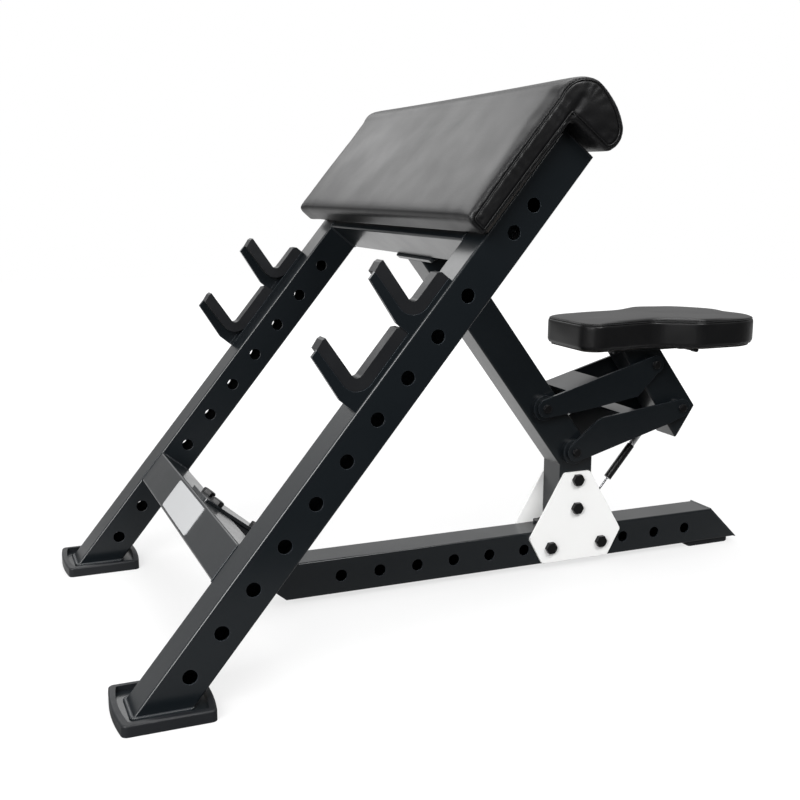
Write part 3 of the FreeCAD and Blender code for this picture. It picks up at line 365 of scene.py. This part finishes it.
def baked(piece):
    """Replaces a piece's mesh with the result of its modifiers."""
    evaluated = piece.evaluated_get(bpy.context.evaluated_depsgraph_get())
    mesh = bpy.data.meshes.new_from_object(evaluated)
    piece.modifiers.clear()
    piece.data = mesh
    return mesh


def evened(mesh, moves, passes):
    """Spreads each point's move over its neighbours, so that the cover has no fine ripples."""
    pairs = [tuple(edge.vertices) for edge in mesh.edges]
    for _ in range(passes):
        total = [move.copy() for move in moves]
        count = [1] * len(moves)
        for first, second in pairs:
            total[first] += moves[second]
            total[second] += moves[first]
            count[first] += 1
            count[second] += 1
        moves = [move / number for move, number in zip(total, count)]
    return moves


def stuffed(name, node, swell, hold):
    """Cushion from a node's solid: remeshed, drawn in and blown up as cloth; hold limits a point."""
    mesh = bpy.data.meshes.new(name)
    bm = merged_copy(node)
    bm.to_mesh(mesh)
    bm.free()
    piece = put(name, mesh)
    remesh = piece.modifiers.new("even", "REMESH")
    remesh.mode = "VOXEL"
    remesh.voxel_size = voxel
    mesh = baked(piece)
    rest = [vertex.co.copy() for vertex in mesh.vertices]
    normals = [normal.vector.copy() for normal in mesh.vertex_normals]
    for vertex, normal in zip(mesh.vertices, normals):
        vertex.co -= normal * start_shrink
    start = [vertex.co.copy() for vertex in mesh.vertices]
    cloth = piece.modifiers.new("cloth", "CLOTH")
    cloth.settings.use_pressure = True
    cloth.settings.uniform_pressure_force = cloth_pressure
    cloth.settings.effector_weights.gravity = 0
    for step in range(1, cloth_frames + 1):
        bpy.context.scene.frame_set(step)
    mesh = baked(piece)
    bpy.context.scene.frame_set(1)
    moves = [vertex.co - before for vertex, before in zip(mesh.vertices, start)]
    moves = [move * min(1.0, swell / max(move.length, MM)) for move in moves]
    moves = evened(mesh, moves, evening_passes)
    for vertex, before, place, move in zip(mesh.vertices, start, rest, moves):
        vertex.co = hold(place, before + move)
    divide = piece.modifiers.new("smooth", "SUBSURF")
    divide.levels = 1
    divide.render_levels = 1
    baked(piece)
    return piece


def place_of(vert):
    """A point's place as a value to sort by."""
    return tuple(vert.co)


def chained(edges):
    """Closed loops of points from a set of edges, each from its lowest X, so that all runs agree."""
    loops = []
    while edges:
        edge = min(edges, key=lambda item: sorted(place_of(vert) for vert in item.verts))
        edges.discard(edge)
        loop = sorted(edge.verts, key=place_of)
        onward = [other for other in loop[-1].link_edges if other in edges]
        while onward:
            edges.discard(onward[0])
            loop.append(onward[0].other_vert(loop[-1]))
            onward = [other for other in loop[-1].link_edges if other in edges]
        loops.append([vert.co.copy() for vert in loop[:-1]])
    return loops


def sides(loop):
    """Start and end of each side of a closed loop."""
    return zip(loop, loop[1:] + loop[:1])


def length_of(loop):
    """Length once round a loop."""
    return sum((second - first).length for first, second in sides(loop))


def end_loop(node, direction):
    """Outline of a node's flat end face that looks one way."""
    bm = merged_copy(node)
    reach = max(vert.co.dot(direction) for vert in bm.verts)
    flat = {face for face in bm.faces if face.normal.dot(direction) > 0.999
            and face.calc_center_median().dot(direction) > reach - MM}
    rim = {edge for face in flat for edge in face.edges
           if sum(other in flat for other in edge.link_faces) == 1}
    loops = chained(rim)
    bm.free()
    return max(loops, key=length_of)


def cut_loop(bm, place, normal):
    """Longest outline where a plane cuts a bmesh, which is used up."""
    geometry = bm.verts[:] + bm.edges[:] + bm.faces[:]
    cut = bmesh.ops.bisect_plane(bm, geom=geometry, plane_co=place, plane_no=normal)["geom_cut"]
    loops = chained({item for item in cut if isinstance(item, bmesh.types.BMEdge)})
    bm.free()
    return max(loops, key=length_of)


def evenly(loop, pitch):
    """Points at an even pitch round a loop."""
    total = length_of(loop)
    pitch = total / round(total / pitch)
    points = []
    left = 0.0
    for first, second in sides(loop):
        run = second - first
        while left < run.length:
            points.append(first + run * (left / run.length))
            left += pitch
        left -= run.length
    return points


def relaxed(loop, passes):
    """A loop with its small kinks smoothed out."""
    for _ in range(passes):
        loop = [(loop[i - 1] + 2 * point + loop[(i + 1) % len(loop)]) / 4 for i, point in enumerate(loop)]
    return loop


def shape_of(piece):
    """Bmesh of a piece."""
    bm = bmesh.new()
    bm.from_mesh(piece.data)
    return bm


def surface(piece):
    """Search tree of a piece's surface."""
    bm = shape_of(piece)
    tree = BVHTree.FromBMesh(bm)
    bm.free()
    return tree


def points_tree(path):
    """Search tree of a path's points."""
    tree = KDTree(len(path))
    for i, point in enumerate(path):
        tree.insert(point, i)
    tree.balance()
    return tree


def pucker(piece, path, reach, depth):
    """Draws a cushion in along a seam or crease, after adding edges beside it."""
    refined = 1.6 * reach
    tree = points_tree(path)
    bm = shape_of(piece)
    close = {vert for vert in bm.verts if tree.find(vert.co)[2] < refined}
    near = [edge for edge in bm.edges if close.intersection(edge.verts)]
    bmesh.ops.subdivide_edges(bm, edges=near, cuts=1, use_grid_fill=True)
    bm.normal_update()
    for vert in bm.verts:
        gap = tree.find(vert.co)[2]
        if gap < 2 * reach:
            vert.co -= vert.normal * depth * math.exp(-(2 * gap / reach) ** 2)
    bm.to_mesh(piece.data)
    bm.free()


def gathered(piece, path, facing, reach, depth, pitch):
    """Small folds that run from a seam into the panel beside it, which looks along facing."""
    tree = points_tree(path)
    normals = [normal.vector.copy() for normal in piece.data.vertex_normals]
    for vertex, normal in zip(piece.data.vertices, normals):
        _, i, gap = tree.find(vertex.co)
        if gap < 4 * reach and normal.dot(facing) > 0.5:
            along = i * seam_step / pitch
            uneven = 1.9 * math.sin(1.3 * along)
            wave = math.sin(2 * math.pi * along + uneven + gap / reach)
            fade = math.exp(-gap / reach) * min(1.0, gap / reach)
            vertex.co -= facing * depth * (0.5 + 0.5 * wave) * fade


def welt(name, path, body):
    """Thin folded edge of the cover that stands up along a seam."""
    curve = bpy.data.curves.new(name, "CURVE")
    curve.dimensions = "3D"
    curve.bevel_depth = welt_radius
    curve.bevel_resolution = 2
    line = curve.splines.new("POLY")
    line.points.add(len(path) - 1)
    for point, place in zip(line.points, path):
        point.co = (*place, 1)
    line.use_cyclic_u = True
    holder = put(name, curve)
    bpy.context.view_layer.update()
    evaluated = holder.evaluated_get(bpy.context.evaluated_depsgraph_get())
    bm = bmesh.new()
    bm.from_mesh(bpy.data.meshes.new_from_object(evaluated))
    bpy.data.objects.remove(holder)
    bmesh.ops.remove_doubles(bm, verts=bm.verts, dist=0.01 * MM)
    bmesh.ops.recalc_face_normals(bm, faces=bm.faces)
    new_piece(name, bm, finishes["vinyl_black"], body)


def row(bm, path, normals, radius, length):
    """Row of small rounded lumps along a path, as stitches or weld ripples."""
    count = len(path)
    for i, (place, normal) in enumerate(zip(path, normals)):
        run = (path[(i + 1) % count] - path[i - 1]).normalized()
        across = normal.cross(run).normalized()
        turn = Matrix((across, run.cross(across), run)).transposed().to_4x4()
        turn.translation = place
        made = bmesh.ops.create_icosphere(bm, subdivisions=1, radius=1.0)["verts"]
        size = Matrix.Diagonal((radius, radius, length / 2, 1))
        bmesh.ops.transform(bm, matrix=turn @ size, verts=made)


def stitches(name, piece, path, towards, body):
    """Stitches on a cushion beside a seam, on the side that lies towards a direction."""
    tree = surface(piece)
    count = len(path)
    turning = sum((first.cross(second) for first, second in sides(path)), Vector())
    offset = math.copysign(stitch_offset, turning.dot(towards))
    places = []
    normals = []
    for i, point in enumerate(path):
        normal = tree.find_nearest(point)[1]
        run = (path[(i + 1) % count] - path[i - 1]).normalized()
        place, normal = tree.find_nearest(point + normal.cross(run).normalized() * offset)[:2]
        places.append(place)
        normals.append(normal)
    bm = bmesh.new()
    row(bm, places, normals, stitch_radius, stitch_length)
    new_piece(name, bm, thread, body)


def seam(piece, name, path, towards, body):
    """Groove, folded edge and stitches along a seam of a cushion."""
    pucker(piece, path, seam_reach, seam_depth)
    welt(name + "_welt", path, body)
    stitches(name + "_stitches", piece, evenly(path, stitch_pitch), towards, body)


def laid(piece, path, passes):
    """A path drawn onto a cushion's surface and smoothed."""
    tree = surface(piece)
    return relaxed([tree.find_nearest(point)[0] for point in path], passes)


def finished(piece, node, body):
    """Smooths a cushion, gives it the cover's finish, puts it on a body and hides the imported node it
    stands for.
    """
    for polygon in piece.data.polygons:
        polygon.use_smooth = True
    give(piece, finishes["vinyl_black"])
    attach(piece, body)
    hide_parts(node)


# Arm cushion: rests on its board, and its roll clears the legs' caps
under_pad = max(vert.co.dot(OUT_OF_LEG) for vert in nodes["arm_pad_board"].data.vertices)
cap_end = max(vert.co.dot(ALONG_LEG) for vert in nodes["left_leg_cap"].data.vertices)


def hold_arm_pad(rest, point):
    """Keeps the arm cushion's underside and the roll's inner face where the solid has them."""
    out = point.dot(OUT_OF_LEG)
    along = point.dot(ALONG_LEG)
    if rest.dot(ALONG_LEG) < cap_end + board_reach and out < under_pad:
        point = point + OUT_OF_LEG * (under_pad - out)
    if rest.dot(OUT_OF_LEG) < under_pad - roll_drop and along < cap_end + cap_gap:
        point = point + ALONG_LEG * (cap_end + cap_gap - along)
    return point


arm_cushion = stuffed("arm_cushion", "arm_pad", pad_swell, hold_arm_pad)
for side, facing in (("left", -ACROSS), ("right", ACROSS)):
    arm_loop = end_loop("arm_pad", facing)
    arm_path = laid(arm_cushion, evenly(arm_loop, seam_step), passes=2)
    gathered(arm_cushion, arm_path, facing, gather_reach, gather_depth, gather_pitch)
    fold_start = (ALONG_LEG * cap_end + OUT_OF_LEG * (under_pad + fold_lift)
                  + ACROSS * arm_loop[0].y)
    fold_way = ALONG_LEG + OUT_OF_LEG * fold_rise
    fold = [fold_start + fold_way * (i * seam_step) for i in range(fold_points)]
    pucker(arm_cushion, laid(arm_cushion, fold, passes=0), fold_reach, fold_depth)
    seam(arm_cushion, "arm_cushion_" + side, arm_path, -facing, "base")
finished(arm_cushion, "arm_pad", "base")

# Seat cushion: rests on the seat plate
plate_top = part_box("seat_plate")[1].z
seat_low, seat_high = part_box("seat_pad")


def hold_seat(rest, point):
    """Keeps the seat cushion on its plate."""
    return Vector((point.x, point.y, max(point.z, plate_top)))


def seat_outline(height):
    """Outline of the seat cushion at a height."""
    return evenly(cut_loop(shape_of(seat_cushion), (0, 0, height), UP), seam_step)


seat_cushion = stuffed("seat_cushion", "seat_pad", seat_swell, hold_seat)
seat_hem = relaxed(seat_outline(seat_low.z + hem_rise), passes=2)
pucker(seat_cushion, seat_hem, hem_reach, hem_depth)
seat_path = relaxed(seat_outline(seat_high.z - seat_seam_drop), passes=3)
seam(seat_cushion, "seat_cushion", seat_path, UP, "stem")
finished(seat_cushion, "seat_pad", "stem")


def solids_of(node):
    """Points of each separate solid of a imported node."""
    bm = merged_copy(node)
    left = set(bm.verts)
    found = []
    for start in bm.verts:
        if start not in left:
            continue
        left.discard(start)
        group = [start]
        for vert in group:
            beside = [edge.other_vert(vert) for edge in vert.link_edges]
            fresh = [other for other in beside if other in left]
            left.difference_update(fresh)
            group.extend(fresh)
        found.append([vert.co.copy() for vert in group])
    bm.free()
    return found


def disc(bm, radius, height, edge, turn):
    """Flat round piece with a broken outer edge, standing on the plane that turn places."""
    made = bmesh.ops.create_cone(bm, cap_ends=True, segments=32, radius1=radius, radius2=radius,
                                 depth=height)["verts"]
    lines = dict.fromkeys(line for vert in made for line in vert.link_edges)
    rim = [line for line in lines if all(vert.co.z > 0 for vert in line.verts)]
    bmesh.ops.transform(bm, matrix=turn @ Matrix.Translation((0, 0, height / 2)), verts=made)
    bmesh.ops.bevel(bm, geom=rim, offset=edge, affect="EDGES", segments=2, profile=0.5, material=-1)


def hex_block(bm, flats, height, turn):
    """Pressed hexagon with the round chamfer of a bolt head or nut, standing where turn places it."""
    face_radius = head_face * flats
    made = bmesh.ops.create_circle(bm, cap_ends=True, segments=36, radius=flats / 2)["verts"]
    for vert in made:
        off_middle = math.atan2(vert.co.y, vert.co.x) % (math.pi / 3) - math.pi / 6
        vert.co /= math.cos(off_middle)
    face = made[0].link_faces[0]
    for level in ("shoulder", "face"):
        grown = bmesh.ops.extrude_face_region(bm, geom=[face])["geom"]
        face = [item for item in grown if isinstance(item, bmesh.types.BMFace)][0]
        for vert in face.verts:
            radius = math.hypot(vert.co.x, vert.co.y)
            vert.co.z = height - (radius - face_radius) * math.tan(head_chamfer)
            if level == "face":
                vert.co = (vert.co.x * face_radius / radius, vert.co.y * face_radius / radius, height)
        made += face.verts
    bmesh.ops.transform(bm, matrix=turn, verts=made)


def standing(place, axis):
    """Matrix that puts Z along an axis, from a place."""
    turn = axis.to_track_quat("Z", "Y").to_matrix().to_4x4()
    turn.translation = place
    return turn


def fasten(node, axis, size):
    """Chamfered heads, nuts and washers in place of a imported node's plain bolts."""
    flats, height, shank, washer = size
    aside = axis.orthogonal().normalized()
    beyond = axis.cross(aside)
    bm = bmesh.new()
    for points in solids_of(node):
        middle = Vector()
        for way in (aside, beyond):
            reach = [point.dot(way) for point in points]
            middle += way * (max(reach) + min(reach)) / 2
        reach = [point.dot(axis) for point in points]
        low = min(reach)
        high = max(reach)
        for end, out in ((low, -axis), (high, axis)):
            last = [point for point, place in zip(points, reach) if abs(place - end) < end_slack]
            width = max((point - axis * point.dot(axis) - middle).length for point in last)
            tip = middle + axis * end
            if width < flats / 2:
                root = tip - out * (bolt_tip + tip_root)
                disc(bm, shank / 2, bolt_tip + tip_root, tip_edge, standing(root, out))
                tip = tip - out * bolt_tip
            seat = tip - out * height
            hex_block(bm, flats, height, standing(seat, out))
            if washer:
                under = standing(seat - out * washer_thickness, out)
                disc(bm, washer / 2, washer_thickness, washer_edge, under)
        shank_start = standing(middle + axis * (low + height), axis)
        disc(bm, shank / 2 - shank_play, high - low - 2 * height, shank_edge, shank_start)
    bmesh.ops.recalc_face_normals(bm, faces=bm.faces)
    piece = new_piece(node + "_turned", bm, finishes["bolt_black"], body_of[node],
                      smooth=False)
    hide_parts(node)


for node, axis, size in (
    ("gusset_bolts", ACROSS, LARGE),
    ("joint_bolts", ALONG_LEG, LARGE),
    ("post_head_bolts", OUT_OF_LEG, LARGE),
    ("post_foot_bolts", UP, SMALL),
    ("post_pivot_lower", ACROSS, PIVOT),
    ("post_pivot_upper", ACROSS, PIVOT),
    ("stem_pivot_lower", ACROSS, PIVOT),
    ("stem_pivot_upper", ACROSS, PIVOT),
):
    fasten(node, axis, size)


def weld(name, node, place, normal, body, bead):
    """Rippled bead round a tube at a joint; place lies on the bead's path and normal along the tube."""
    radius, pitch = bead
    path = evenly(cut_loop(merged_copy(node), place, normal), pitch)
    bm = bmesh.new()
    row(bm, path, [normal] * len(path), radius, ripple_overlap * pitch)
    new_piece(name, bm, finishes["powder_black"], body)


for side in ("left", "right"):
    foot_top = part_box(side + "_foot_plate")[1] + UP * weld_inset
    weld(side + "_foot_weld", side + "_leg", foot_top, UP, "base", FOOT_BEAD)
post_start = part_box("post_foot")[1] + UP * weld_inset
weld("post_foot_weld", "seat_post", post_start, UP, "base", FRAME_BEAD)
stem_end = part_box("seat_plate")[0] - UP * weld_inset
weld("seat_plate_weld", "seat_stem", stem_end, UP, "stem", FRAME_BEAD)
for level in ("upper", "lower"):
    beam = level + "_crossbeam"
    low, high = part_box(level + "_crossbeam")
    weld("left_%s_beam_weld" % level, beam, low + ACROSS * weld_inset, ACROSS, "base", FRAME_BEAD)
    weld("right_%s_beam_weld" % level, beam, high - ACROSS * weld_inset, ACROSS, "base", FRAME_BEAD)

# Floor: from 1 m in front of the bench to far behind it
floor_half_size = (6, 4.6, 1)
floor_middle = (0, 3.6, 0)
floor_mesh = bpy.data.meshes.new("floor")
bm = bmesh.new()
bmesh.ops.create_grid(bm, x_segments=1, y_segments=1, size=1)
bmesh.ops.scale(bm, vec=floor_half_size, verts=bm.verts)
bmesh.ops.translate(bm, vec=floor_middle, verts=bm.verts)
bm.to_mesh(floor_mesh)
bm.free()
floor = put("floor", floor_mesh)

# Pale matt paint: white to the eye out to its edge, mirrored brightly behind the bench alone
floor_paint, tree, place = new_material("pale_studio_floor")
ray = add_node(tree, "LightPath").outputs
distance = add_node(tree, "VectorMath", {0: place}, operation="LENGTH")
seen = add_node(tree, "MapRange", {"Value": distance.outputs["Value"], "From Min": 1.2, "From Max": 2.6,
                                   "To Min": 0.72, "To Max": 1.0})
behind = add_node(tree, "SeparateXYZ", {0: place})
mirrored = add_node(tree, "MapRange", {"Value": behind.outputs["Y"], "From Min": -0.2, "From Max": 0.6,
                                       "To Min": 0.0, "To Max": 0.7})
in_mirror = add_node(tree, "Math", {0: ray["Is Glossy Ray"], 1: ray["Is Transmission Ray"]},
                     operation="MAXIMUM")
in_mirror = add_node(tree, "Math", {0: in_mirror.outputs["Value"], 1: mirrored.outputs["Result"]},
                     operation="MULTIPLY")
glow = add_node(tree, "Math", {0: ray["Is Camera Ray"], 1: seen.outputs["Result"],
                               2: in_mirror.outputs["Value"]}, operation="MULTIPLY_ADD")
end_material(tree, {
    "Base Color": colour("#747474"),
    "Roughness": 0.8,
    "Specular IOR Level": 0.1,
    "Emission Color": (1, 1, 1, 1),
    "Emission Strength": glow.outputs["Value"],
})
give(floor, floor_paint)

# White all round for the eye; as a light, a studio that is bright at the back and dim at the front
world = bpy.data.worlds.new("studio")
bpy.context.scene.world = world
world.use_nodes = True
tree = world.node_tree
tree.nodes.clear()
ray = add_node(tree, "LightPath").outputs
to_eye = add_node(tree, "Math", {0: ray["Is Camera Ray"], 1: ray["Is Transmission Ray"]},
                  operation="MAXIMUM")
way = add_node(tree, "SeparateXYZ", {0: add_node(tree, "TexCoord").outputs["Generated"]})
by_depth = add_node(tree, "MapRange", {"Value": way.outputs["Y"], "From Min": -0.7, "From Max": 0.3,
                                       "To Min": 0.12, "To Max": 0.9})
by_height = add_node(tree, "MapRange", {"Value": way.outputs["Z"], "From Min": 0.05, "From Max": 0.45,
                                        "To Min": 0.28, "To Max": 1.0})
room = add_node(tree, "Math", {0: by_depth.outputs["Result"], 1: by_height.outputs["Result"]},
                operation="MULTIPLY")
strength = add_node(tree, "Mix", {0: to_eye.outputs["Value"], 2: room.outputs["Value"], 3: 1.0})
back = add_node(tree, "Background", {"Color": (1, 1, 1, 1), "Strength": strength.outputs[0]})
add_node(tree, "OutputWorld", {"Surface": back.outputs["Background"]})


def softbox(name, place, target, upright, width, height, power):
    """Large lamp that looks at a point, with its height turned towards upright."""
    lamp = bpy.data.lights.new(name, "AREA")
    lamp.shape = "RECTANGLE"
    lamp.size = width
    lamp.size_y = height
    lamp.energy = power
    holder = put(name, lamp)
    holder.location = place
    away = (Vector(place) - Vector(target)).normalized()
    aside = upright.cross(away).normalized()
    holder.rotation_euler = Matrix((aside, away.cross(aside), away)).transposed().to_euler()
    holder.visible_camera = False


# the key stands where the legs' rounded front corners mirror it along their whole length
softbox("key_left", place=(-2.75, -2.35, 2.0), target=(-0.3, -0.3, 0.35), upright=ALONG_LEG,
        width=1.9, height=2.3, power=200)
softbox("fill_front", place=(0.8, -3.4, 3.6), target=(0.2, 0, 0.4), upright=UP,
        width=2.0, height=2.0, power=145)
softbox("overhead", place=(0.4, 0.6, 4.0), target=(0, 0, 0.3), upright=ACROSS,
        width=3.0, height=3.0, power=110)
softbox("back", place=(-1.0, 4.8, 3.7), target=(0, 0, 0.7), upright=UP,
        width=2.6, height=2.6, power=45)

camera = bpy.data.cameras.new("camera")
camera.lens = camera_lens
camera.sensor_width = sensor_width
camera.sensor_fit = "HORIZONTAL"
tripod = put("camera", camera)
tripod.location = camera_place
tripod.rotation_euler = (math.pi / 2 + camera_pitch, 0, camera_yaw)
bpy.context.scene.camera = tripod

bpy.context.scene.view_settings.view_transform = "Standard"
